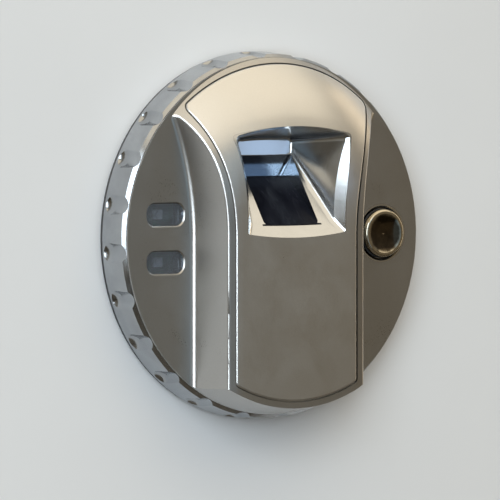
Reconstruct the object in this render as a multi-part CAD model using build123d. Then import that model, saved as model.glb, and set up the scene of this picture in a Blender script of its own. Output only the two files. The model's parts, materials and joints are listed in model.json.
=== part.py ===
"""Round wall-mounted fingerprint reader with a fluted bayonet ring, as separate parts.

The model is built lying on its back: x to the right, y up the wall and z out of the wall, with the
wall at z = 0. Each part is turned upright as it is written, so that +Z is up and the front faces -Y.
All lengths are in millimetres.
"""
from build123d import *
import math
import os

# ---- driving dimensions -------------------------------------------------------------------------
DEPTH = 24.5               # wall to the flat front of the bridge
DOME_Y = 4.0               # height of the dome's axis above the centre
DOME_FLAT_R = 20.0         # flat middle of the front surface
DOME_ARC_R = 42.0          # arc that carries the flat down to the top of the bridge

WING_Z = 12.6              # front of the two flat wings
WING_UNDER_Z = 10.6        # inner face of the wings
FLANGE_R = 53.3            # rim of the wings
FLANGE_UNDER_Z = 12.0
SKIRT_R = 50.0
SKIRT_IN_R = 48.2
SKIRT_BACK_Z = 5.0

BRIDGE_HALF = 29.4         # half-width of the bridge where it leaves the wings
BRIDGE_SIDE_R = 98.0       # concave arc of its sides above the centre
BRIDGE_DRAFT = 21.0        # degrees
BRIDGE_END_R = 51.0        # lower end of the bridge at its front
BRIDGE_WALL = 2.0
BASE_FILLET = 2.1          # cove where the bridge leaves the wings
BRIDGE_EDGE_ROUND = 0.9    # rounding between its sides and its front

PANEL_HALF = 22.2
PANEL_SIDE_R = 72.0
PANEL_TOP_R = 51.4
PANEL_END_R = 48.9
PANEL_T = 1.5
PANEL_EDGE_ROUND = 0.6
PANEL_GAP = 0.35
PANEL_PIN_X = 17.0
PANEL_PIN_YS = (-6.0, -24.0, -42.0)
PANEL_PIN_R = 1.25
SHELF_T = 1.25             # shelf of the housing under the panel

RING_R = 55.0
RING_FRONT_R = 54.35
RING_BACK_Z = 1.7
RING_FRONT_Z = 11.9
RING_BORE_R = 50.3
RING_REAR_BORE_R = 51.8
RING_STEP_Z = 5.1
RING_CHAMFER = 1.0
FLUTES = 24
FLUTE_R = 4.0
FLUTE_AXIS_R = 57.4
FLUTE_END_Z = 5.8
FLUTE_TURN = 4.3           # degrees past the top, seen from the front, anticlockwise

GASKET_T = 0.5
PLATE_T = 1.0
PLATE_R = 54.6
PLATE_IN_R = 41.0
SCREW_PCD = 90.0
SCREW_HOLE_R = 2.25
HOOK_ANGLES = (90, 210, 330)
HOOK_SPAN = 24.0           # degrees
HOOK_END = 2.0             # degrees, thickness of a hook's end stop
HOOK_WEB_R = (49.0, 49.8)
HOOK_LIP_R = 51.5
HOOK_LIP_Z = (2.85, 3.65)
RING_TAB_Z = (1.75, 2.75)  # tabs of the ring that sit behind the hooks' lips
UNLOCK_TURN = 30.0         # degrees
STOP_PLAY = 0.3            # degrees between a tab and its stop at either end

FLOOR_Z = (0.6, 1.9)       # back and front of the rear cover's floor
REAR_FLANGE_Z = (3.8, 5.0)
REAR_FLANGE_R = 51.5
REAR_DRUM_R = (38.7, 40.3)
REAR_SEAL_R = (48.6, 49.6)
REAR_SEAL_T = 0.6
CABLE_Y = -24.0
CABLE_R = 5.0
GROMMET_NECK_R = 7.0
GROMMET_FLANGE_R = 8.2
TAMPER_PLACE = (20.0, -20.0)

PCB_Z = (5.2, 6.8)
PCB_R = 46.5
HOUSING_SCREW_R = 44.5
HOUSING_SCREW_ANGLES = (30, 150, 210, 330)
HOUSING_SCREW_SEAT_Z = 3.8
PCB_SCREWS = ((30, 19), (-30, 19), (-30, -19), (30, -19))

GLASS_LOW = (3.9, 21.8)    # (y, z) of the sensor glass's lower edge
GLASS_HIGH = (19.3, 3.6)   # (y, z) of its upper edge, deep in the recess
GLASS_HALF = 10.0
GLASS_T = 0.9
CHIP_BACK = 1.4            # below the face of the glass
BOARD_BACK = 2.4
CLAMP_BACK = 3.1
CLAMP_SCREW_X = 13.3
CLAMP_SCREW_ALONG = (-5.6, 5.0)
CHANNEL_DEEP = 6.2
RECESS_BACK_Z = 7.6
RECESS_BACK_Y = (24.0, 29.0)
RECESS_LIP_Z = 21.8        # inner end of the flare round the recess
RECESS_CORNER = 1.1        # rounding between its back and its walls
GUIDE_WALL = 1.5

LED_X = -39.5
LED_Y = 7.1
LED_SIZE = (13.3, 6.7)
LED_CORNER = 2.8
LENS_Z = (9.8, 12.25)

BUTTON_X = 40.3
BUTTON_R = 7.2
BUTTON_FRONT_Z = 14.5
BUTTON_TRAVEL = 0.8
GUIDE_BORE_R = 7.55
GUIDE_R = 8.75
GUIDE_FLANGE_R = 9.9
GUIDE_BACK_Z = 9.9
GUIDE_FLOOR_Z = 10.7
CAP_STEM_R = 2.8
CAP_STEM_BACK_Z = 9.1
CLIP_GROOVE_Z = (9.3, 9.7)
SPRING_SEAT_Z = 12.9       # face inside the cap that the spring bears on
SWITCH_BODY_T = 1.4
PLUNGER_R = 1.5

FREE = 0.05                # play between parts that are fixed together


UPRIGHT = Plane(origin=(0, 0, 0), x_dir=(1, 0, 0), z_dir=(0, -1, 0))


# ---- small helpers ------------------------------------------------------------------------------
def disc(radius, low, high, x=0.0, y=0.0):
    return Pos(x, y, low) * extrude(Circle(radius), high - low)


def tube(inner, outer, low, high, x=0.0, y=0.0):
    return disc(outer, low, high, x, y) - disc(inner, low - 1, high + 1, x, y)


def slab(width, height, low, high, x=0.0, y=0.0, corner=0.0):
    shape = RectangleRounded(width, height, corner) if corner else Rectangle(width, height)
    return Pos(x, y, low) * extrude(shape, high - low)


def polar(radius, degrees):
    angle = math.radians(degrees)
    return radius * math.cos(angle), radius * math.sin(angle)


def sector(inner, outer, start, end, low, high):
    """Part of a tube between two angles in degrees."""
    far = outer * 1.5
    wedge = Polyline((0, 0), polar(far, start), polar(far, (start + end) / 2), polar(far, end), (0, 0))
    return tube(inner, outer, low, high) & (Pos(0, 0, low - 1) * extrude(make_face(wedge), high - low + 2))


def one_of_each(shapes):
    total = Part()
    for shape in shapes:
        total += shape
    return total


# ---- shared outlines and surfaces ---------------------------------------------------------------
def waisted_strip(half, side_r, reach=62.0):
    """Upright strip with straight sides below the centre and concave sides that widen above it."""
    centre = half + side_r
    end_angle = math.asin(reach / side_r)
    top_x = centre - side_r * math.cos(end_angle)
    mid_x = centre - side_r * math.cos(end_angle / 2)
    mid_y = side_r * math.sin(end_angle / 2)
    edges = [
        Line((-half, -reach), (half, -reach)),
        Line((half, -reach), (half, 0)),
        ThreePointArc((half, 0), (mid_x, mid_y), (top_x, reach)),
        Line((top_x, reach), (-top_x, reach)),
        ThreePointArc((-top_x, reach), (-mid_x, mid_y), (-half, 0)),
        Line((-half, 0), (-half, -reach)),
    ]
    return make_face(Curve() + edges)


def split_disc(top_r, end_r):
    upper = Circle(top_r) & (Pos(0, 50) * Rectangle(120, 100))
    lower = Circle(end_r) & (Pos(0, -50) * Rectangle(120, 100))
    return upper + lower


def panel_outline(grow=0.0):
    strip = waisted_strip(PANEL_HALF + grow, PANEL_SIDE_R - grow)
    outline = strip & split_disc(PANEL_TOP_R + grow, PANEL_END_R + grow)
    top = [v for v in outline.vertices() if v.Y > 20]
    outline = fillet(top, 2.2 + grow)
    low = [v for v in outline.vertices() if v.Y < -20]
    return fillet(low, 1.5 + grow)


def recess_outline(bottom_half, bottom_y, top_half, corner_y, rise, corner, side_bow, sag, grow=0.0):
    """Four-sided outline of the recess: bowed top, bottom and sides, with rounded corners."""
    bottom_half += grow
    top_half += grow
    bottom_y -= grow
    corner_y += grow
    top_y = corner_y + rise
    corner += grow
    mid_half = (bottom_half + top_half) / 2 - side_bow
    mid_y = (bottom_y + corner_y) / 2
    edges = [
        ThreePointArc((-bottom_half, bottom_y), (0, bottom_y - sag), (bottom_half, bottom_y)),
        ThreePointArc((bottom_half, bottom_y), (mid_half, mid_y), (top_half, corner_y)),
        ThreePointArc((top_half, corner_y), (0, top_y), (-top_half, corner_y)),
        ThreePointArc((-top_half, corner_y), (-mid_half, mid_y), (-bottom_half, bottom_y)),
    ]
    outline = make_face(Curve() + edges)
    return fillet(outline.vertices(), corner)


def window_outline(grow=0.0):
    return recess_outline(18.2, 1.2, 22.2, 30.4, 2.6, 1.3, 1.4, 1.4, grow)


def dome(lower=0.0):
    """Everything behind the front surface of the bridge, moved back by a distance."""
    reach = 58.0
    flat = DEPTH - lower
    turn = math.asin((reach - DOME_FLAT_R) / DOME_ARC_R)
    edge_z = flat - DOME_ARC_R * (1 - math.cos(turn))
    handle = 4 / 3 * math.tan(turn / 4) * DOME_ARC_R
    arcs = {}
    for side in (-1, 1):
        arcs[side] = Bezier(
            (side * DOME_FLAT_R, flat),
            (side * (DOME_FLAT_R + handle), flat),
            (side * (reach - handle * math.cos(turn)), edge_z + handle * math.sin(turn)),
            (side * reach, edge_z),
        )
    half = [
        Line((0, flat), (DOME_FLAT_R, flat)),
        arcs[1],
        Line((reach, edge_z), (reach, -2)),
        Line((reach, -2), (0, -2)),
        Line((0, -2), (0, flat)),
    ]
    full = [
        Line((-DOME_FLAT_R, flat), (DOME_FLAT_R, flat)),
        arcs[1],
        Line((reach, edge_z), (reach, -2)),
        Line((reach, -2), (-reach, -2)),
        Line((-reach, -2), (-reach, edge_z)),
        arcs[-1],
    ]
    upright = Plane(origin=(0, DOME_Y, 0), x_dir=(1, 0, 0), z_dir=(0, -1, 0))
    upper = revolve(upright * make_face(Curve() + half), Axis((0, DOME_Y, 0), (0, 0, 1)), 180)
    return upper + extrude(upright * make_face(Curve() + full), 70)


def bridge_prism(inset=0.0, low=11.0, high=26.5):
    """Bridge with drafted sides, open-ended above and below, before the dome trims it."""
    slope = math.tan(math.radians(BRIDGE_DRAFT))
    sections = []
    for z in (low, high):
        shift = (z - 12.5) * slope + inset
        outline = waisted_strip(BRIDGE_HALF - shift, BRIDGE_SIDE_R + shift)
        sections.append(Pos(0, 0, z) * outline)
    return loft(sections, ruled=True)


def end_cone():
    """Round envelope of the wings' rim and of the bridge's ends."""
    rim = disc(FLANGE_R, FLANGE_UNDER_Z, WING_Z)
    height = DEPTH + 1.5 - WING_Z
    lean = (FLANGE_R - BRIDGE_END_R) / (DEPTH - WING_Z)
    cone = Cone(FLANGE_R, FLANGE_R - lean * height, height, align=(Align.CENTER, Align.CENTER, Align.MIN))
    return rim + Pos(0, 0, WING_Z) * cone


def sensor_plane():
    """Plane on the middle of the sensor glass: its y runs down into the wall, its z out of the glass."""
    run = GLASS_HIGH[0] - GLASS_LOW[0]
    drop = GLASS_HIGH[1] - GLASS_LOW[1]
    length = math.hypot(run, drop)
    centre = (0, (GLASS_HIGH[0] + GLASS_LOW[0]) / 2, (GLASS_HIGH[1] + GLASS_LOW[1]) / 2)
    return Plane(origin=centre, x_dir=(1, 0, 0), z_dir=(0, -drop / length, run / length))


GLASS_LONG = math.hypot(GLASS_HIGH[0] - GLASS_LOW[0], GLASS_HIGH[1] - GLASS_LOW[1])


def on_sensor(width, start, end, low, high, x=0.0, corner=0.0):
    """Block in the sensor's own plane: start and end along the slope, low and high out of the glass."""
    return sensor_plane() * slab(width, end - start, low, high, x, (start + end) / 2, corner)


def above_floor(shape, floor=2.1):
    return shape & slab(140, 140, floor, 60)


# ---- wall side ----------------------------------------------------------------------------------
def wall_screw_holes(low, high):
    return one_of_each([disc(SCREW_HOLE_R, low, high, *polar(SCREW_PCD / 2, a)) for a in (45, 135, 225, 315)])


def wall_gasket():
    return tube(PLATE_IN_R, PLATE_R - 0.4, 0, GASKET_T) - wall_screw_holes(-1, 2)


def wall_plate():
    top = GASKET_T + PLATE_T
    plate = tube(PLATE_IN_R, PLATE_R, GASKET_T, top) - wall_screw_holes(-1, 2)
    for middle in HOOK_ANGLES:
        start = middle - HOOK_SPAN / 2 - HOOK_END - STOP_PLAY
        end = middle + HOOK_SPAN / 2
        lip_low, lip_high = HOOK_LIP_Z
        web_in, web_out = HOOK_WEB_R
        plate += sector(web_in, web_out, start, end, top, lip_high)
        plate += sector(web_in, HOOK_LIP_R, start, end, lip_low, lip_high)
        plate += sector(web_in, HOOK_LIP_R, start, start + HOOK_END, top, lip_high)
        stop = end + UNLOCK_TURN + STOP_PLAY
        plate += sector(web_out, HOOK_LIP_R, stop, stop + HOOK_END, top, RING_TAB_Z[1])
    return plate


def flute_cutter():
    """Round-nosed cutter that runs out through the front of the ring."""
    nose_z = FLUTE_END_Z - FLUTE_R
    side = math.cos(math.radians(45)) * FLUTE_R
    edges = [
        ThreePointArc((0, nose_z), (side, FLUTE_END_Z - side), (FLUTE_R, FLUTE_END_Z)),
        Line((FLUTE_R, FLUTE_END_Z), (FLUTE_R, RING_FRONT_Z + 2)),
        Line((FLUTE_R, RING_FRONT_Z + 2), (0, RING_FRONT_Z + 2)),
        Line((0, RING_FRONT_Z + 2), (0, nose_z)),
    ]
    return revolve(UPRIGHT * make_face(Curve() + edges), Axis.Z, 360)


def fluted_ring():
    outline = Polyline(
        (RING_REAR_BORE_R, RING_BACK_Z),
        (RING_R - 0.3, RING_BACK_Z),
        (RING_R, RING_BACK_Z + 0.3),
        (RING_FRONT_R, RING_FRONT_Z - RING_CHAMFER),
        (RING_FRONT_R - RING_CHAMFER, RING_FRONT_Z),
        (RING_BORE_R, RING_FRONT_Z),
        (RING_BORE_R, RING_STEP_Z),
        (RING_REAR_BORE_R, RING_STEP_Z),
        (RING_REAR_BORE_R, RING_BACK_Z),
    )
    ring = revolve(UPRIGHT * make_face(outline), Axis.Z, 360)
    for middle in HOOK_ANGLES:
        start, end = middle - HOOK_SPAN / 2, middle + HOOK_SPAN / 2
        ring += sector(HOOK_WEB_R[1] + 0.4, RING_REAR_BORE_R + 0.2, start, end, *RING_TAB_Z)
    cutter = flute_cutter()
    for index in range(FLUTES):
        angle = 90 + FLUTE_TURN + index * 360 / FLUTES
        ring -= Pos(*polar(FLUTE_AXIS_R, angle), 0) * Rot(0, 0, angle) * cutter
    return ring


# ---- rear cover ---------------------------------------------------------------------------------
def housing_screw_places():
    return [polar(HOUSING_SCREW_R, a) for a in HOUSING_SCREW_ANGLES]


def rear_cover():
    low, high = FLOOR_Z
    flange_low, flange_high = REAR_FLANGE_Z
    drum_in, drum_out = REAR_DRUM_R
    seal_in, seal_out = REAR_SEAL_R
    cover = disc(drum_out, low, high)
    cover += tube(drum_in, drum_out, low, flange_high)
    cover += tube(drum_in, REAR_FLANGE_R, flange_low, flange_high)
    cover -= tube(seal_in - 0.1, seal_out + 0.1, flange_high - REAR_SEAL_T, flange_high + 1)
    for x, y in housing_screw_places():
        cover -= disc(1.35, 0, 8, x, y)
    for index in range(6):
        cover += disc(1.0, flange_high, PCB_Z[0], *polar(42.0, index * 60))
    cover -= disc(GROMMET_NECK_R, 0, 4, 0, CABLE_Y)
    cover -= disc(2.0, 0, 4, *TAMPER_PLACE)
    return cover


def rear_cover_seal():
    return tube(*REAR_SEAL_R, REAR_FLANGE_Z[1] - REAR_SEAL_T, REAR_FLANGE_Z[1])


def cable_grommet():
    low, high = FLOOR_Z
    grommet = tube(CABLE_R, GROMMET_NECK_R - FREE, low, high, 0, CABLE_Y)
    grommet += tube(CABLE_R, GROMMET_FLANGE_R, 0.1, low, 0, CABLE_Y)
    grommet += tube(CABLE_R, GROMMET_FLANGE_R, high, high + 0.8, 0, CABLE_Y)
    return grommet


def housing_screws():
    screws = []
    for x, y in housing_screw_places():
        seat = HOUSING_SCREW_SEAT_Z
        screw = disc(1.2, seat, 9.4, x, y) + disc(2.2, seat - 1.4, seat, x, y)
        screws.append(screw - slab(2.6, 0.5, seat - 1.8, seat - 0.9, x, y))
    return one_of_each(screws)


# ---- front housing and panel --------------------------------------------------------------------
def led_outline(grow=0.0):
    return RectangleRounded(LED_SIZE[0] + 2 * grow, LED_SIZE[1] + 2 * grow, LED_CORNER + grow)


def lies_on(faces, point):
    return min(face.distance_to(Vertex(*point)) for face in faces) < 0.002


def edges_between(shape, side_faces, front_faces):
    """Edges of a shape that lie both on its sides and on its front."""
    found = []
    for edge in shape.edges():
        points = [edge @ share for share in (0.15, 0.5, 0.85)]
        if all(lies_on(side_faces, point) and lies_on(front_faces, point) for point in points):
            found.append(edge)
    return found


def upright_faces(shape):
    return [face for face in shape.faces() if abs(face.normal_at().Z) < 0.9 and abs(face.center().Y) < 61]


def housing_front():
    """Wings and bridge as one solid lump, with the cove where they meet."""
    lump = Pos(0, 0, 11.0) * extrude(Rectangle(150, 150), WING_Z - 11.0)
    lump += bridge_prism()
    inner_edges = [
        e for e in lump.edges()
        if abs(e.center().Z - WING_Z) < 0.01 and abs(e.center().X) < 60 and e.length > 20
        and abs(e.center().Y) < 61
    ]
    lump = fillet(inner_edges, BASE_FILLET)
    lump = lump & (dome() + slab(150, 150, 5, WING_Z))
    lump = lump & (end_cone() + disc(SKIRT_R, 11, 12.2))
    return fillet(edges_between(lump, upright_faces(bridge_prism()), dome().faces()), BRIDGE_EDGE_ROUND)


def panel_pocket():
    cut = extrude(panel_outline(PANEL_GAP), 40)
    return cut - dome(PANEL_T + 0.05)


def guide_seat(grow):
    """Hole through the shelf that the finger guide's flange fills."""
    return extrude(window_outline(2.6 + grow), 40)


def panel_pin_places():
    return [(side * PANEL_PIN_X, y) for side in (-1, 1) for y in PANEL_PIN_YS]


def front_housing():
    body = housing_front()
    body += disc(SKIRT_R, SKIRT_BACK_Z, 11.5)
    body += disc(FLANGE_R, FLANGE_UNDER_Z, WING_Z)
    body -= disc(SKIRT_IN_R, 0, WING_UNDER_Z)
    hollow = bridge_prism(BRIDGE_WALL, low=9.0) & dome(PANEL_T + 0.05 + SHELF_T) & disc(SKIRT_IN_R, 0, 40)
    body -= hollow
    body -= panel_pocket()
    body -= guide_seat(FREE) - disc(60, 0, 14)
    for x, y in panel_pin_places():
        body -= disc(PANEL_PIN_R + 0.1, 18, 30, x, y)
    for side in (-1, 1):
        place = Pos(LED_X, side * LED_Y, 0)
        body -= place * extrude(led_outline(), 20)
        body -= place * Pos(0, 0, WING_Z - 0.35) * loft([led_outline(), Pos(0, 0, 0.4) * led_outline(0.4)])
    body -= disc(GUIDE_R + FREE, 5, 20, BUTTON_X, 0) - tube(SKIRT_R - 0.65, 60, 0, WING_UNDER_Z)
    body -= button_flange(FREE)
    for x, y in housing_screw_places():
        body += tube(1.25, 2.7, REAR_FLANGE_Z[1], WING_UNDER_Z, x, y) + disc(2.7, 9.6, WING_UNDER_Z, x, y)
    for x, y in PCB_SCREWS:
        body += tube(0.9, 2.3, PCB_Z[1], WING_UNDER_Z + 0.2, x, y)
    return body


def front_panel():
    prism = extrude(panel_outline(), 40)
    blank = prism & dome()
    blank = fillet(edges_between(blank, upright_faces(prism), dome().faces()), PANEL_EDGE_ROUND)
    blank -= dome(PANEL_T)
    blank -= extrude(window_outline(), 40)
    for x, y in panel_pin_places():
        blank += disc(PANEL_PIN_R, DEPTH - 5.2, DEPTH - 1.0, x, y)
    return blank


def panel_clips():
    under = DEPTH - PANEL_T - 0.05 - SHELF_T
    clips = [tube(PANEL_PIN_R + FREE, 2.7, under - 0.6, under - 0.1, x, y) for x, y in panel_pin_places()]
    return one_of_each(clips)


# ---- finger recess and sensor -------------------------------------------------------------------
def funnel(grow=0.0):
    """Flared recess from the panel's window down to its flat back."""
    back_low, back_high = RECESS_BACK_Y
    front = recess_outline(18.0, 0.6, 23.6, 30.8, 2.5, 1.3, 2.0, 0.8, grow)
    middle = recess_outline(15.6, 4.2, 20.6, 30.0, 2.3, 1.5, 1.5, 0.6, grow)
    back = recess_outline(10.0, back_low, 10.0, back_high, 0.4, 1.8, 0.1, 0.1, grow)
    heights = (DEPTH, RECESS_LIP_Z, RECESS_BACK_Z - grow)
    outlines = [Pos(0, 0, z) * outline for outline, z in zip((front, middle, back), heights)]
    flare = loft(outlines[:2], ruled=True) + loft(outlines[1:], ruled=True)
    flare = fillet(flare.edges().group_by(Axis.Z)[0], RECESS_CORNER + grow)
    return flare + Pos(0, 0, DEPTH) * extrude(front, 2)


def clamp_screw_places():
    return [(side * CLAMP_SCREW_X, along) for side in (-1, 1) for along in CLAMP_SCREW_ALONG]


def finger_guide():
    half = GLASS_LONG / 2
    outer = funnel(GUIDE_WALL)
    outer += on_sensor(2 * GLASS_HALF + 4.6, -half + 0.5, half + 1.4, -BOARD_BACK, CHANNEL_DEEP + 0.6)
    for side in (-1, 1):
        outer += on_sensor(3.4, -8.2, 7.6, -BOARD_BACK, 0.6, side * 13.2)
    outer = outer & dome(PANEL_T + FREE)
    flange = guide_seat(0) & dome(PANEL_T + FREE)
    outer += flange - dome(PANEL_T + SHELF_T)
    rim = extrude(window_outline(-FREE), 40) & dome()
    outer += rim - dome(PANEL_T + 0.3)
    guide = above_floor(outer) - funnel()
    guide -= on_sensor(2 * GLASS_HALF, -half, half, 0, 14, corner=1.2)
    guide -= on_sensor(2 * GLASS_HALF + 1.7, -half - 0.5, half + 0.5, -GLASS_T - 0.02, 0)
    guide -= on_sensor(2 * GLASS_HALF + 1.3, -half - 0.4, half + 3, -6, -GLASS_T)
    for x, along in clamp_screw_places():
        guide -= sensor_plane() * disc(0.8, -4, -0.5, x, along)
    return guide


def sensor_glass():
    half = GLASS_LONG / 2
    return on_sensor(2 * GLASS_HALF + 1.6, -half - 0.4, half + 0.4, -GLASS_T, 0, corner=1.0)


def sensor_seal():
    half = GLASS_LONG / 2
    frame = on_sensor(20.8, -half, half - 0.5, -CHIP_BACK, -GLASS_T, corner=1.2)
    return frame - on_sensor(17.2, -half + 1.8, half - 2.3, -2, 0, corner=1.0)


def sensor_chip():
    return on_sensor(15.0, -8.4, 8.0, -CHIP_BACK, -GLASS_T - FREE)


def sensor_board():
    return on_sensor(20.4, -11.6, 10.4, -BOARD_BACK, -CHIP_BACK, corner=0.8)


def sensor_clamp():
    clamp = on_sensor(29.6, -8.0, 7.4, -CLAMP_BACK, -BOARD_BACK - FREE, corner=1.6)
    clamp -= on_sensor(15.0, *CLAMP_SCREW_ALONG, -4, 0, corner=2.0)
    for x, along in clamp_screw_places():
        clamp -= sensor_plane() * disc(0.85, -4, 0, x, along)
    return clamp


def sensor_clamp_screws():
    screws = []
    for x, along in clamp_screw_places():
        screw = disc(0.75, -CLAMP_BACK, -0.8, x, along) + disc(1.4, -CLAMP_BACK - 0.9, -CLAMP_BACK, x, along)
        screw -= slab(1.8, 0.4, -CLAMP_BACK - 1.1, -CLAMP_BACK - 0.6, x, along)
        screws.append(sensor_plane() * screw)
    return one_of_each(screws)


def sensor_flex():
    """Ribbon from the back of the sensor board down to its connector on the main board."""
    plane = Plane(origin=(0, 0, 0), x_dir=(0, 1, 0), z_dir=(1, 0, 0))
    route = FilletPolyline((2.6, 18.5), (-1.2, 15.2), (-2.6, 9.4), (-5.4, 7.6), (-8.0, 7.6), radius=1.2)
    ribbon = extrude(plane * trace(route, 0.25), 4, both=True)
    return ribbon


def flex_connector():
    block = slab(11, 4.4, PCB_Z[1], PCB_Z[1] + 1.6, 0, -8.2)
    return block - slab(8.3, 3.6, PCB_Z[1] + 0.6, PCB_Z[1] + 1.0, 0, -7.4)


# ---- status lights ------------------------------------------------------------------------------
def led_window(side):
    place = Pos(LED_X, side * LED_Y, 0)
    low, high = LENS_Z
    lens = Pos(0, 0, low) * extrude(led_outline(-0.08), high - low)
    flange = Pos(0, 0, low) * extrude(led_outline(0.8), WING_UNDER_Z - FREE - low)
    return place * (lens + flange)


def status_led(side):
    body = slab(3.2, 2.8, PCB_Z[1], PCB_Z[1] + 0.9, LED_X, side * LED_Y, 0.3)
    return body + disc(1.1, PCB_Z[1] + 0.8, PCB_Z[1] + 1.5, LED_X, side * LED_Y)


def light_shroud():
    low, high = PCB_Z[1], LENS_Z[0] - FREE
    wall = slab(14.6, 23.4, low, high, LED_X, 0, 2.0)
    for side in (-1, 1):
        wall -= slab(12.2, 9.0, low - 1, high + 1, LED_X, side * LED_Y - side * 0.6, 1.5)
    return wall


# ---- push button --------------------------------------------------------------------------------
def button_flange(grow=0.0):
    """Flange of the button's guide behind the wing, trimmed where it nears the housing's skirt."""
    flange = disc(GUIDE_FLANGE_R + grow, GUIDE_BACK_Z - grow, WING_UNDER_Z - FREE + grow, BUTTON_X)
    return flange & disc(SKIRT_R - 0.7 + grow, 0, 20)


def button_guide():
    x = BUTTON_X
    guide = disc(GUIDE_R, GUIDE_BACK_Z, WING_Z, x) - tube(SKIRT_R - 0.7, 60, 0, WING_UNDER_Z)
    guide += button_flange()
    guide -= disc(GUIDE_BORE_R, GUIDE_FLOOR_Z, 20, x)
    guide -= disc(CAP_STEM_R + 0.3, 5, 20, x)
    lip = Cone(GUIDE_BORE_R, GUIDE_BORE_R + 0.9, 0.9, align=(Align.CENTER, Align.CENTER, Align.MIN))
    return guide - Pos(x, 0, WING_Z - 0.75) * lip


def button_cap():
    cap = disc(BUTTON_R, 11.6, BUTTON_FRONT_Z)
    rim = cap.edges().group_by(Axis.Z)[-1]
    cap = fillet(rim, 0.8)
    dish_depth = 1.0
    dish_r = 5.9
    ball = (dish_r ** 2 + dish_depth ** 2) / (2 * dish_depth)
    cap -= Pos(0, 0, BUTTON_FRONT_Z - dish_depth + ball) * Sphere(ball)
    cap -= tube(CAP_STEM_R, 6.1, 10, SPRING_SEAT_Z)
    cap += disc(CAP_STEM_R, CAP_STEM_BACK_Z, 12.0)
    cap -= tube(CAP_STEM_R - 0.5, 4, *CLIP_GROOVE_Z)
    cap -= tube(BUTTON_R - 0.45, 8, 11.95, 12.75)
    return Pos(BUTTON_X, 0, 0) * cap


def button_o_ring():
    return Pos(BUTTON_X, 0, 12.35) * Torus(7.13, 0.36)


def button_clip():
    low, high = CLIP_GROOVE_Z
    clip = tube(CAP_STEM_R - 0.45, 4.3, low + 0.02, high - 0.02, BUTTON_X)
    return clip - slab(3.4, 6, 9, 10, BUTTON_X, -4)


def button_spring():
    """Return spring of round wire between the guide's floor and the cap."""
    wire_r = 0.25
    low, high = GUIDE_FLOOR_Z + wire_r + 0.02, SPRING_SEAT_Z - wire_r - 0.02
    coil = Helix(pitch=(high - low) / 2.5, height=high - low, radius=4.6)
    start = coil @ 0
    section = Plane(origin=start, z_dir=coil % 0) * Circle(wire_r)
    return Pos(BUTTON_X, 0, low) * sweep(section, path=coil, is_frenet=True)


def button_switch():
    low = PCB_Z[1]
    body = slab(6.2, 6.2, low, low + SWITCH_BODY_T, BUTTON_X, 0, 0.4)
    return body - disc(PLUNGER_R + 0.2, low + 0.01, 12, BUTTON_X)


def switch_plunger():
    """Rests just under the cap's stem, with the button's travel left below it."""
    return disc(PLUNGER_R, PCB_Z[1] + BUTTON_TRAVEL + FREE, CAP_STEM_BACK_Z - FREE, BUTTON_X)


# ---- electronics --------------------------------------------------------------------------------
def main_pcb():
    low, high = PCB_Z
    board = disc(PCB_R, low, high)
    board -= slab(31.2, 20.8, 0, 20, 0, 21.5, 1.5)
    board -= disc(GROMMET_FLANGE_R + 1, 0, 20, 0, CABLE_Y)
    for x, y in housing_screw_places():
        board -= disc(3.2, 0, 20, x, y)
    for x, y in PCB_SCREWS:
        board -= disc(1.1, 0, 20, x, y)
    return board


def pcb_screws():
    screws = []
    for x, y in PCB_SCREWS:
        seat = PCB_Z[0]
        screw = disc(0.85, seat, 9.6, x, y) + disc(1.8, seat - 1.2, seat, x, y)
        screws.append(screw - slab(2.2, 0.45, seat - 1.7, seat - 0.8, x, y))
    return one_of_each(screws)


def processor_chip():
    low = PCB_Z[1]
    chip = slab(12, 12, low, low + 1.2, -18, 0, 0.4)
    for side in (-1, 1):
        for index in range(8):
            step = -4.55 + index * 1.3
            chip += slab(0.9, 0.5, low, low + 0.35, -18 + side * 6.4, step)
            chip += slab(0.5, 0.9, low, low + 0.35, -18 + step, side * 6.4)
    return chip


def memory_chip():
    low = PCB_Z[1]
    chip = slab(6, 8, low, low + 1.1, 18.5, 1, 0.3)
    for side in (-1, 1):
        for index in range(5):
            chip += slab(0.9, 0.5, low, low + 0.35, 18.5 + side * 3.4, -1.6 + index * 1.3)
    return chip


def terminal_places():
    return [-10.0 + index * 5.0 for index in range(5)]


def terminal_block():
    low = PCB_Z[1]
    block = slab(25.6, 7.6, low, low + 9.0, 0, -38.2)
    for x in terminal_places():
        block -= disc(1.7, low + 6.5, low + 12, x, -38.6)
        block -= slab(3.4, 3.0, low + 1.0, low + 4.4, x, -35.4)
    return block


def terminal_screws():
    low = PCB_Z[1] + 6.55
    screws = []
    for x in terminal_places():
        screws.append(disc(1.6, low, low + 1.6, x, -38.6) - slab(2.6, 0.5, low + 1.0, low + 2, x, -38.6))
    return one_of_each(screws)


def relay():
    return slab(10, 15, PCB_Z[1], PCB_Z[1] + 11.0, 19.5, -27.5, 0.5)


def buzzer():
    low = PCB_Z[1]
    return disc(5.0, low, low + 5.0, -19.5, -18) - disc(0.9, low + 4, low + 6, -19.5, -18)


def capacitor():
    low = PCB_Z[1]
    can = disc(3.1, low, low + 8.0, -20, -30)
    return can - tube(2.9, 4, low + 1.2, low + 1.8, -20, -30)


def tamper_sensor():
    low = PCB_Z[0]
    return slab(3.6, 3.0, low - 1.4, low, *TAMPER_PLACE, 0.3)


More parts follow.
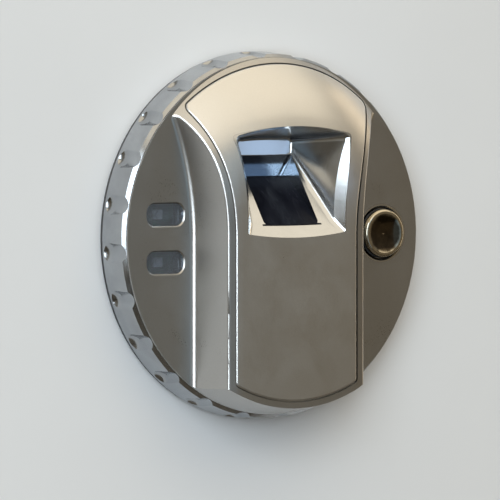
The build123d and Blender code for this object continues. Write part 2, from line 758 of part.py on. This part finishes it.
# ---- writing ------------------------------------------------------------------------------------
def build():
    return {
        "wall_gasket": wall_gasket(),
        "wall_plate": wall_plate(),
        "fluted_ring": fluted_ring(),
        "rear_cover": rear_cover(),
        "rear_cover_seal": rear_cover_seal(),
        "cable_grommet": cable_grommet(),
        "housing_screws": housing_screws(),
        "front_housing": front_housing(),
        "front_panel": front_panel(),
        "panel_clips": panel_clips(),
        "finger_guide": finger_guide(),
        "sensor_glass": sensor_glass(),
        "sensor_seal": sensor_seal(),
        "sensor_chip": sensor_chip(),
        "sensor_board": sensor_board(),
        "sensor_clamp": sensor_clamp(),
        "sensor_clamp_screws": sensor_clamp_screws(),
        "sensor_flex": sensor_flex(),
        "flex_connector": flex_connector(),
        "led_window_upper": led_window(1),
        "led_window_lower": led_window(-1),
        "status_led_upper": status_led(1),
        "status_led_lower": status_led(-1),
        "light_shroud": light_shroud(),
        "button_guide": button_guide(),
        "button_cap": button_cap(),
        "button_o_ring": button_o_ring(),
        "button_clip": button_clip(),
        "button_spring": button_spring(),
        "button_switch": button_switch(),
        "switch_plunger": switch_plunger(),
        "main_pcb": main_pcb(),
        "pcb_screws": pcb_screws(),
        "processor_chip": processor_chip(),
        "memory_chip": memory_chip(),
        "terminal_block": terminal_block(),
        "terminal_screws": terminal_screws(),
        "relay": relay(),
        "buzzer": buzzer(),
        "capacitor": capacitor(),
        "tamper_sensor": tamper_sensor(),
    }


os.makedirs("parts", exist_ok=True)
for node, shape in build().items():
    export_step(Rot(90, 0, 0) * shape, f"parts/{node}.step")
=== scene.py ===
"""Looks, stage and camera for the round fingerprint reader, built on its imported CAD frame.

Everything is in metres in the CAD's frame: +Z up, the front faces -Y and the wall is at Y = 0.
"""
import json
import math

import bpy
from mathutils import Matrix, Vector


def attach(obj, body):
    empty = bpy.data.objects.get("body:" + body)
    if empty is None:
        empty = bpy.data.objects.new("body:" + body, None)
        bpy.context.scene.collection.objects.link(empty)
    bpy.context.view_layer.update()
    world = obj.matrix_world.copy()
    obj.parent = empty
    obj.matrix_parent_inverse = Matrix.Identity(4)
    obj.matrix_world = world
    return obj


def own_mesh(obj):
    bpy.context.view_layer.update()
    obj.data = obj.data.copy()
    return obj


MM = 0.001
BUTTON_X = 40.3 * MM        # centre line of the push button

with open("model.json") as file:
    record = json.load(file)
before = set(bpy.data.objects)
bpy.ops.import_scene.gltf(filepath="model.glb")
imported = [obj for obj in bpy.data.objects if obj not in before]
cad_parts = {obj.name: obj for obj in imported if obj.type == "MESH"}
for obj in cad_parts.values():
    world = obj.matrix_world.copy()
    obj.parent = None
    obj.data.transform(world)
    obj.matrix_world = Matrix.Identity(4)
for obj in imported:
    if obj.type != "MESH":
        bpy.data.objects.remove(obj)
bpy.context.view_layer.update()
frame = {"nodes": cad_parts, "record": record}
parts = frame["nodes"]
slots = {entry["node"]: entry["material_slot"] for entry in frame["record"]["subparts"]}


# ---- node graph helper --------------------------------------------------------------------------
class Look:
    """One material and the few node shapes that all the materials here are made of."""

    def __init__(self, name, **shader_values):
        self.material = bpy.data.materials.new(name)
        self.material.use_nodes = True
        self.tree = self.material.node_tree
        self.shader = self.tree.nodes["Principled BSDF"]
        self.place = self.add("ShaderNodeTexCoord").outputs["Object"]
        for socket, value in shader_values.items():
            self.shader.inputs[socket.replace("_", " ")].default_value = value

    def add(self, kind, **settings):
        node = self.tree.nodes.new(kind)
        for name, value in settings.items():
            setattr(node, name, value)
        return node

    def link(self, source, target):
        self.tree.links.new(source, target)

    def stretched(self, scale):
        """Object coordinates scaled differently along each axis."""
        mapping = self.add("ShaderNodeMapping")
        mapping.inputs["Scale"].default_value = scale
        self.link(self.place, mapping.inputs["Vector"])
        return mapping.outputs["Vector"]

    def noise(self, scale, detail=3.0, rough=0.55, vector=None, distortion=0.0):
        node = self.add("ShaderNodeTexNoise")
        node.inputs["Scale"].default_value = scale
        node.inputs["Detail"].default_value = detail
        node.inputs["Roughness"].default_value = rough
        node.inputs["Distortion"].default_value = distortion
        self.link(vector or self.place, node.inputs["Vector"])
        return node.outputs["Fac"]

    def cells(self, scale):
        """Distance to the nearest of many scattered points."""
        node = self.add("ShaderNodeTexVoronoi", feature="F1")
        node.inputs["Scale"].default_value = scale
        self.link(self.place, node.inputs["Vector"])
        return node.outputs["Distance"]

    def spread(self, value, low, high, from_low=0.3, from_high=0.7):
        """Remaps a value; noise mostly lies between 0.3 and 0.7."""
        node = self.add("ShaderNodeMapRange")
        node.inputs["From Min"].default_value = from_low
        node.inputs["From Max"].default_value = from_high
        node.inputs["To Min"].default_value = low
        node.inputs["To Max"].default_value = high
        self.link(value, node.inputs["Value"])
        return node.outputs["Result"]

    def combine(self, first, second, operation="ADD"):
        node = self.add("ShaderNodeMath", operation=operation)
        self.link(first, node.inputs[0])
        if isinstance(second, (int, float)):
            node.inputs[1].default_value = second
        else:
            self.link(second, node.inputs[1])
        return node.outputs["Value"]

    def two_tone(self, value, dark, light):
        node = self.add("ShaderNodeMix", data_type="RGBA")
        node.inputs["A"].default_value = (*dark, 1)
        node.inputs["B"].default_value = (*light, 1)
        self.link(value, node.inputs["Factor"])
        return node.outputs["Result"]

    def blend(self, value, first, second):
        node = self.add("ShaderNodeMix", data_type="RGBA")
        self.link(value, node.inputs["Factor"])
        self.link(first, node.inputs["A"])
        self.link(second, node.inputs["B"])
        return node.outputs["Result"]

    def colour(self, output):
        self.link(output, self.shader.inputs["Base Color"])

    def roughness(self, output):
        self.link(output, self.shader.inputs["Roughness"])

    def bump(self, height, depth, strength=1.0):
        """Relief on the surface; depth is in metres."""
        node = self.add("ShaderNodeBump")
        node.inputs["Distance"].default_value = depth
        node.inputs["Strength"].default_value = strength
        self.link(height, node.inputs["Height"])
        self.link(node.outputs["Normal"], self.shader.inputs["Normal"])


# ---- materials ----------------------------------------------------------------------------------
def satin_metal(name, dark, light, rough_low, rough_high):
    """Fine bead-blasted metal: a slightly cloudy tone, tiny grain and faint handling marks."""
    look = Look(name, Metallic=1.0)
    clouds = look.noise(24, 3, 0.45)
    grit = look.noise(2600, 2, 0.7)
    tone = look.combine(look.spread(clouds, 0, 0.5), look.spread(grit, 0, 0.5))
    look.colour(look.two_tone(tone, dark, light))
    marks = look.noise(90, 4, 0.6, distortion=0.6)
    look.roughness(look.combine(look.spread(marks, rough_low, rough_high), look.spread(grit, -0.03, 0.03)))
    look.bump(look.noise(1500, 2, 0.6), 0.012 * MM, 0.5)
    return look.material


def polished_metal(name, dark, light, rough_low, rough_high, wear=1.0):
    """Plated and polished: mirror-like, with smudges and hairlines that only show in the gloss."""
    look = Look(name, Metallic=1.0)
    film = look.noise(70, 4, 0.6, distortion=0.8)
    look.colour(look.two_tone(look.spread(film, 0, 1), dark, light))
    hairlines = look.noise(900, 2, 0.5, vector=look.stretched((1, 1, 0.08)))
    scratches = look.spread(hairlines, -0.02 * wear, 0.03 * wear)
    look.roughness(look.combine(look.spread(film, rough_low, rough_high), scratches))
    look.bump(look.noise(420, 3, 0.5), 0.006 * MM, 0.35 * wear)
    return look.material


def button_metal():
    """Nickel with painted shade in its dish: a near-black colour stands in for the dark reflection there,
    and the rim keeps the plain nickel colour.
    """
    dish_radius, rim_radius = 5.2 * MM, 6.1 * MM
    look = Look("button_nickel", Metallic=1.0)
    centred = look.add("ShaderNodeMapping")
    centred.inputs["Location"].default_value = (-BUTTON_X, 0, 0)
    centred.inputs["Scale"].default_value = (1, 0, 1)
    look.link(look.place, centred.inputs["Vector"])
    radius = look.add("ShaderNodeVectorMath", operation="LENGTH")
    look.link(centred.outputs["Vector"], radius.inputs[0])
    # Painted shade: inside dish_radius the colour is near-black for the dish's dark reflection, blending to
    # plain nickel at rim_radius; noise wobbles that edge.
    dish_edge_wobble = look.spread(look.noise(420, 4, 0.6), -0.3 * MM, 0.3 * MM)
    bright = look.spread(look.combine(radius.outputs["Value"], dish_edge_wobble), 0, 1, dish_radius, rim_radius)
    dish_shade = look.two_tone(look.spread(look.noise(300, 4, 0.6), 0, 1), (0.05, 0.04, 0.028),
                            (0.12, 0.095, 0.065))
    rim_nickel = look.two_tone(look.spread(look.noise(900, 3), 0, 1), (0.52, 0.46, 0.35), (0.62, 0.56, 0.45))
    look.colour(look.blend(bright, dish_shade, rim_nickel))
    look.roughness(look.spread(look.noise(500, 4, 0.6), 0.08, 0.16))
    look.bump(look.noise(420, 3, 0.5), 0.006 * MM, 0.3)
    return look.material


def moulded_plastic(name, dark, light, rough_low, rough_high):
    """Plastic or powder coat: slight patches and a fine moulded grain."""
    look = Look(name)
    patches = look.noise(60, 3)
    grain = look.noise(1400, 2, 0.6)
    tone = look.combine(look.spread(patches, 0, 0.7), look.spread(grain, 0, 0.3))
    look.colour(look.two_tone(tone, dark, light))
    look.roughness(look.spread(patches, rough_low, rough_high))
    look.bump(grain, 0.03 * MM, 0.6)
    return look.material


def seal_rubber():
    """Black rubber with pale dust on it."""
    look = Look("seal_rubber", Specular_IOR_Level=0.35)
    dust = look.noise(300, 5, 0.7)
    dusty = look.spread(dust, 0, 1, 0.45, 0.75)
    look.colour(look.two_tone(dusty, (0.012, 0.012, 0.013), (0.05, 0.05, 0.048)))
    look.roughness(look.spread(dust, 0.62, 0.9))
    look.bump(look.noise(1800, 2, 0.6), 0.03 * MM, 0.6)
    return look.material


def sensor_black():
    """Hard black coated glass with the faint smears that fingers leave."""
    look = Look("sensor_black", Specular_IOR_Level=0.05)
    smear = look.noise(150, 5, 0.65, vector=look.stretched((1.0, 0.35, 0.35)), distortion=1.5)
    ridges = look.noise(1200, 1, 0.5, vector=look.stretched((1.0, 0.5, 0.5)))
    look.colour(look.two_tone(look.spread(smear, 0, 1), (0.004, 0.0045, 0.008), (0.014, 0.015, 0.021)))
    look.roughness(look.combine(look.spread(smear, 0.10, 0.32), look.spread(ridges, -0.03, 0.03)))
    look.bump(smear, 0.01 * MM, 0.3)
    return look.material


def smoky_lens():
    """Clear moulded plastic with a grey tint and faint flow lines."""
    look = Look("smoky_lens", IOR=1.49, Transmission_Weight=0.88, Coat_Weight=0.3, Coat_Roughness=0.04)
    flow = look.noise(220, 3, 0.5, vector=look.stretched((0.3, 1, 1)))
    look.colour(look.two_tone(look.spread(flow, 0, 1), (0.36, 0.41, 0.48), (0.50, 0.55, 0.63)))
    look.roughness(look.spread(flow, 0.10, 0.22))
    look.bump(flow, 0.02 * MM, 0.3)
    return look.material


def circuit_board():
    """Solder mask over copper: a maze of traces, with ground areas between and tiny plated holes."""
    look = Look("circuit_board", Coat_Weight=0.25, Coat_Roughness=0.15)
    grid = look.add("ShaderNodeTexBrick", offset=0.35, squash=0.6)
    grid.inputs["Scale"].default_value = 300
    grid.inputs["Mortar Size"].default_value = 0.06
    turned = look.add("ShaderNodeMapping")
    turned.inputs["Rotation"].default_value = (math.radians(90), 0, 0)
    look.link(look.place, turned.inputs["Vector"])
    look.link(turned.outputs["Vector"], grid.inputs["Vector"])
    traces = look.combine(grid.outputs["Fac"], look.spread(look.noise(90, 2), 0, 1, 0.48, 0.52), "MULTIPLY")
    holes = look.spread(look.cells(260), 1, 0, 0.05, 0.07)
    mask = look.two_tone(look.spread(look.noise(45, 4), 0, 1), (0.004, 0.040, 0.018), (0.010, 0.075, 0.032))
    copper = look.two_tone(holes, (0.03, 0.16, 0.07), (0.55, 0.42, 0.20))
    look.colour(look.blend(look.combine(traces, holes, "MAXIMUM"), mask, copper))
    look.roughness(look.spread(look.noise(200, 3), 0.25, 0.45))
    look.bump(traces, 0.03 * MM, 0.7)
    return look.material


def amber_film():
    """Flat flexible circuit: amber film with copper lines along it."""
    look = Look("amber_film", Coat_Weight=0.4, Coat_Roughness=0.12)
    stripes = look.add("ShaderNodeTexWave", wave_type="BANDS", bands_direction="X")
    stripes.inputs["Scale"].default_value = 420
    stripes.inputs["Distortion"].default_value = 0.0
    look.link(look.place, stripes.inputs["Vector"])
    lines = look.spread(stripes.outputs["Fac"], 0, 1, 0.45, 0.55)
    look.colour(look.two_tone(lines, (0.32, 0.12, 0.015), (0.55, 0.26, 0.05)))
    look.roughness(look.spread(look.noise(120, 3), 0.25, 0.4))
    look.bump(lines, 0.02 * MM, 0.5)
    return look.material


def led_body():
    """White moulded body of a small light."""
    look = Look("led_body", Coat_Weight=0.5, Coat_Roughness=0.05)
    chip = look.noise(700, 2)
    look.colour(look.two_tone(look.spread(chip, 0, 1), (0.62, 0.62, 0.56), (0.86, 0.86, 0.82)))
    look.roughness(look.spread(chip, 0.2, 0.4))
    return look.material


def make_materials():
    """One finish for each material slot of the record."""
    return {
        "rubber_seal": seal_rubber(),
        # Painted shade: the near-black colour of black_steel makes the dark line along the back edge, which
        # on the real reader is shadow.
        "black_steel": moulded_plastic("black_steel", (0.018, 0.018, 0.019), (0.040, 0.040, 0.043),
                                       0.35, 0.5),
        "zinc_plate": satin_metal("zinc_plate", (0.42, 0.43, 0.45), (0.58, 0.59, 0.60), 0.28, 0.42),
        "ring_chrome": polished_metal("ring_chrome", (0.35, 0.36, 0.375), (0.45, 0.465, 0.48),
                                      0.13, 0.24),
        "rear_plastic": moulded_plastic("rear_plastic", (0.012, 0.012, 0.013), (0.035, 0.035, 0.036),
                                        0.45, 0.65),
        "satin_nickel": satin_metal("satin_nickel", (0.44, 0.43, 0.415), (0.50, 0.49, 0.47), 0.29, 0.34),
        "satin_panel": satin_metal("satin_panel", (0.63, 0.62, 0.60), (0.69, 0.68, 0.66), 0.30, 0.36),
        "polished_nickel": polished_metal("polished_nickel", (0.54, 0.55, 0.56), (0.60, 0.61, 0.62),
                                          0.15, 0.20, 0.3),
        "button_nickel": button_metal(),
        "bezel_nickel": polished_metal("bezel_nickel", (0.60, 0.59, 0.57), (0.70, 0.69, 0.67),
                                       0.10, 0.20),
        "sensor_black": sensor_black(),
        "lens_smoke": smoky_lens(),
        "steel_parts": satin_metal("steel_parts", (0.42, 0.42, 0.43), (0.60, 0.60, 0.61), 0.2, 0.35),
        "board_green": circuit_board(),
        "chip_black": moulded_plastic("chip_black", (0.010, 0.010, 0.011), (0.028, 0.028, 0.030),
                                      0.4, 0.6),
        "plunger_plastic": moulded_plastic("plunger_plastic", (0.52, 0.48, 0.38), (0.68, 0.64, 0.53),
                                           0.4, 0.5),
        "flex_amber": amber_film(),
        "connector_plastic": moulded_plastic("connector_plastic", (0.55, 0.50, 0.40), (0.70, 0.66, 0.55),
                                             0.4, 0.55),
        "led_body": led_body(),
        "terminal_green": moulded_plastic("terminal_green", (0.015, 0.15, 0.06), (0.03, 0.24, 0.10),
                                          0.35, 0.5),
        "relay_plastic": moulded_plastic("relay_plastic", (0.012, 0.03, 0.12), (0.03, 0.06, 0.2),
                                         0.25, 0.4),
        "buzzer_plastic": moulded_plastic("buzzer_plastic", (0.008, 0.008, 0.008), (0.02, 0.02, 0.02),
                                          0.3, 0.45),
        "capacitor_sleeve": moulded_plastic("capacitor_sleeve", (0.01, 0.015, 0.07), (0.02, 0.03, 0.12),
                                            0.2, 0.35),
    }


def dress_parts():
    """Gives every CAD node the finish of its slot."""
    materials = make_materials()
    for name, part in parts.items():
        part.data.materials.clear()
        part.data.materials.append(materials[slots[name]])


def compress_spring():
    """Gives the return spring its own copy of its mesh; nothing here shortens it by the button's stroke."""
    spring = parts["button_spring"]
    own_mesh(spring)


def sensor_top_strip():
    """Thin steel strip over the upper end of the sensor glass, at the foot of the slope behind it."""
    height, low, high = 3.1 * MM, 0.01 * MM, 0.22 * MM      # low and high: its two faces above the glass
    flat, facing_front = 0.01 * MM, -0.2
    glass = parts["sensor_glass"]
    to_row = glass.matrix_world
    face = max((f for f in glass.data.polygons if f.normal.y < facing_front), key=lambda f: f.area)
    normal, centre = (to_row.to_3x3() @ face.normal).normalized(), to_row @ face.center
    up = (Vector((0, 0, 1)) - normal * normal.z).normalized()
    offsets = [to_row @ vertex.co - centre for vertex in glass.data.vertices]
    on_face = [offset for offset in offsets if abs(offset.dot(normal)) < flat]
    left = min(offset.x for offset in on_face)
    right = max(offset.x for offset in on_face)
    top = max(offset.dot(up) for offset in on_face)
    outline = ((left, top - height), (right, top - height), (right, top), (left, top))
    corners = [centre + Vector((x, 0, 0)) + up * along + normal * out
               for out in (low, high) for x, along in outline]
    sides = [(k, (k + 1) % 4, (k + 1) % 4 + 4, k + 4) for k in range(4)]
    mesh = bpy.data.meshes.new("sensor_top_strip")
    mesh.from_pydata(corners, [], [(3, 2, 1, 0), (4, 5, 6, 7)] + sides)
    strip = bpy.data.objects.new("sensor_top_strip", mesh)
    bpy.context.scene.collection.objects.link(strip)
    # Painted reflection: the strip's blue-grey colour stands in for the bluish daylight that the metal in
    # the recess reflects.
    mesh.materials.append(polished_metal("strip_steel", (0.20, 0.27, 0.36), (0.26, 0.33, 0.42),
                                         0.22, 0.30, 0.3))
    rounding = strip.modifiers.new("rounding", "BEVEL")
    rounding.width = 0.08 * MM
    rounding.segments = 2
    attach(strip, "housing")


# ---- stage, lights and camera -------------------------------------------------------------------
VIEW_AZIMUTH, VIEW_ELEVATION = -36.0, 2.2       # degrees
VIEW_DISTANCE = 2.5
FRAME_WIDTH = 149.9 * MM
AIM = Vector((0.45 * MM, 0, -4.6 * MM))


def direction(azimuth, elevation):
    """Unit vector towards an azimuth and elevation in degrees; azimuth 0 is straight in front."""
    az, el = math.radians(azimuth), math.radians(elevation)
    return Vector((math.sin(az) * math.cos(el), -math.cos(az) * math.cos(el), math.sin(el)))


def make_camera():
    sensor_width = 36
    data = bpy.data.cameras.new("camera")
    data.sensor_width = sensor_width
    data.lens = sensor_width * VIEW_DISTANCE / FRAME_WIDTH
    data.clip_start = 0.05
    data.clip_end = 30
    camera = bpy.data.objects.new("camera", data)
    bpy.context.scene.collection.objects.link(camera)
    back = direction(VIEW_AZIMUTH, VIEW_ELEVATION)
    camera.location = AIM + back * VIEW_DISTANCE
    camera.rotation_euler = back.to_track_quat("Z", "Y").to_euler()
    bpy.context.scene.camera = camera


def plain_surface(name, dark, light, scale):
    """Painted surface that is seen from its front only, so it hides nothing from behind."""
    look = Look(name, Specular_IOR_Level=0.2)
    look.colour(look.two_tone(look.spread(look.noise(scale, 4), 0, 1), dark, light))
    look.roughness(look.spread(look.noise(scale * 3, 2), 0.75, 0.9))
    look.bump(look.noise(scale * 14, 3), 0.1 * MM, 0.25)
    facing = look.add("ShaderNodeNewGeometry").outputs["Backfacing"]
    clear = look.add("ShaderNodeBsdfTransparent")
    choose = look.add("ShaderNodeMixShader")
    look.link(facing, choose.inputs["Fac"])
    look.link(look.shader.outputs["BSDF"], choose.inputs[1])
    look.link(clear.outputs["BSDF"], choose.inputs[2])
    look.link(choose.outputs["Shader"], look.tree.nodes["Material Output"].inputs["Surface"])
    return look.material


def stage_plane(name, corners, material):
    mesh = bpy.data.meshes.new(name)
    mesh.from_pydata(corners, [], [tuple(range(len(corners)))])
    mesh.materials.append(material)
    plane = bpy.data.objects.new(name, mesh)
    bpy.context.scene.collection.objects.link(plane)
    plane.visible_shadow = False


def make_stage():
    """The wall that the reader hangs on, and the floor below it."""
    wall_y = 0.05 * MM
    half, top, floor_z = 1.6, 1.4, -1.3
    floor_front, floor_back = -3.2, 1.6
    wall_paint = plain_surface("wall_paint", (0.73, 0.725, 0.725), (0.76, 0.755, 0.755), 9)
    floor_paint = plain_surface("floor_paint", (0.10, 0.085, 0.065), (0.14, 0.12, 0.095), 4)
    stage_plane("wall", [(-half, wall_y, floor_z), (half, wall_y, floor_z),
                         (half, wall_y, top), (-half, wall_y, top)], wall_paint)
    stage_plane("floor", [(-half * 2, floor_front, floor_z), (half * 2, floor_front, floor_z),
                          (half * 2, floor_back, floor_z), (-half * 2, floor_back, floor_z)], floor_paint)


def area_light(name, towards, distance, size, power, colour, aim=(0, 0, 0)):
    """Rectangular light at a distance from aim, facing it, that the camera doesn't see directly."""
    data = bpy.data.lights.new(name, "AREA")
    data.shape = "RECTANGLE"
    data.size, data.size_y = size
    data.energy = power
    data.color = colour
    light = bpy.data.objects.new(name, data)
    bpy.context.scene.collection.objects.link(light)
    light.location = Vector(aim) + towards * distance
    light.rotation_euler = towards.to_track_quat("Z", "Y").to_euler()
    light.visible_camera = False


def make_lights():
    """A ceiling and a window for the room, and small cards whose reflections give the metal its tones."""
    area_light("ceiling", direction(15, 56), 1.6, (3.0, 2.0), 19, (1.0, 0.88, 0.68))
    area_light("window", direction(-41, 13), 1.8, (0.95, 1.35), 27, (0.78, 0.90, 1.0))
    area_light("side_lamp", direction(84, 8), 1.3, (0.25, 1.2), 1.6, (1.0, 0.80, 0.54))
    area_light("daylight_card", direction(8, 0), 0.36, (0.16, 0.30), 0.055, (0.35, 0.68, 1.0))
    recess_back = Vector((0, -7.6, 23.5)) * MM
    area_light("glow", Vector((35, -50, 1)).normalized(), 0.061, (0.018, 0.018), 0.00115,
               (0.46, 0.68, 1.0), aim=recess_back)
    area_light("rear", direction(180, 25), 1.6, (1.6, 1.2), 24, (1.0, 0.98, 0.95))


def make_room():
    """Room around the reader: pale where the camera sees it, darker and warmer low down in reflections."""
    world = bpy.data.worlds.new("room")
    bpy.context.scene.world = world
    world.use_nodes = True
    tree = world.node_tree
    background = tree.nodes["Background"]
    coords = tree.nodes.new("ShaderNodeTexCoord")
    split = tree.nodes.new("ShaderNodeSeparateXYZ")
    tree.links.new(coords.outputs["Generated"], split.inputs["Vector"])
    ramp = tree.nodes.new("ShaderNodeValToRGB")
    ramp.color_ramp.elements[0].position = 0.42
    ramp.color_ramp.elements[0].color = (0.155, 0.125, 0.082, 1)
    ramp.color_ramp.elements[1].position = 0.80
    ramp.color_ramp.elements[1].color = (0.30, 0.28, 0.24, 1)
    raise_up = tree.nodes.new("ShaderNodeMapRange")
    raise_up.inputs["From Min"].default_value = -1
    tree.links.new(split.outputs["Z"], raise_up.inputs["Value"])
    tree.links.new(raise_up.outputs["Result"], ramp.inputs["Fac"])
    pale = tree.nodes.new("ShaderNodeBackground")
    pale.inputs["Color"].default_value = (0.62, 0.63, 0.64, 1)
    tree.links.new(ramp.outputs["Color"], background.inputs["Color"])
    rays = tree.nodes.new("ShaderNodeLightPath")
    mix = tree.nodes.new("ShaderNodeMixShader")
    tree.links.new(rays.outputs["Is Camera Ray"], mix.inputs["Fac"])
    tree.links.new(background.outputs["Background"], mix.inputs[1])
    tree.links.new(pale.outputs["Background"], mix.inputs[2])
    tree.links.new(mix.outputs["Shader"], tree.nodes["World Output"].inputs["Surface"])


dress_parts()
compress_spring()
sensor_top_strip()
make_stage()
make_lights()
make_room()
make_camera()
bpy.context.scene.view_settings.view_transform = "Standard"
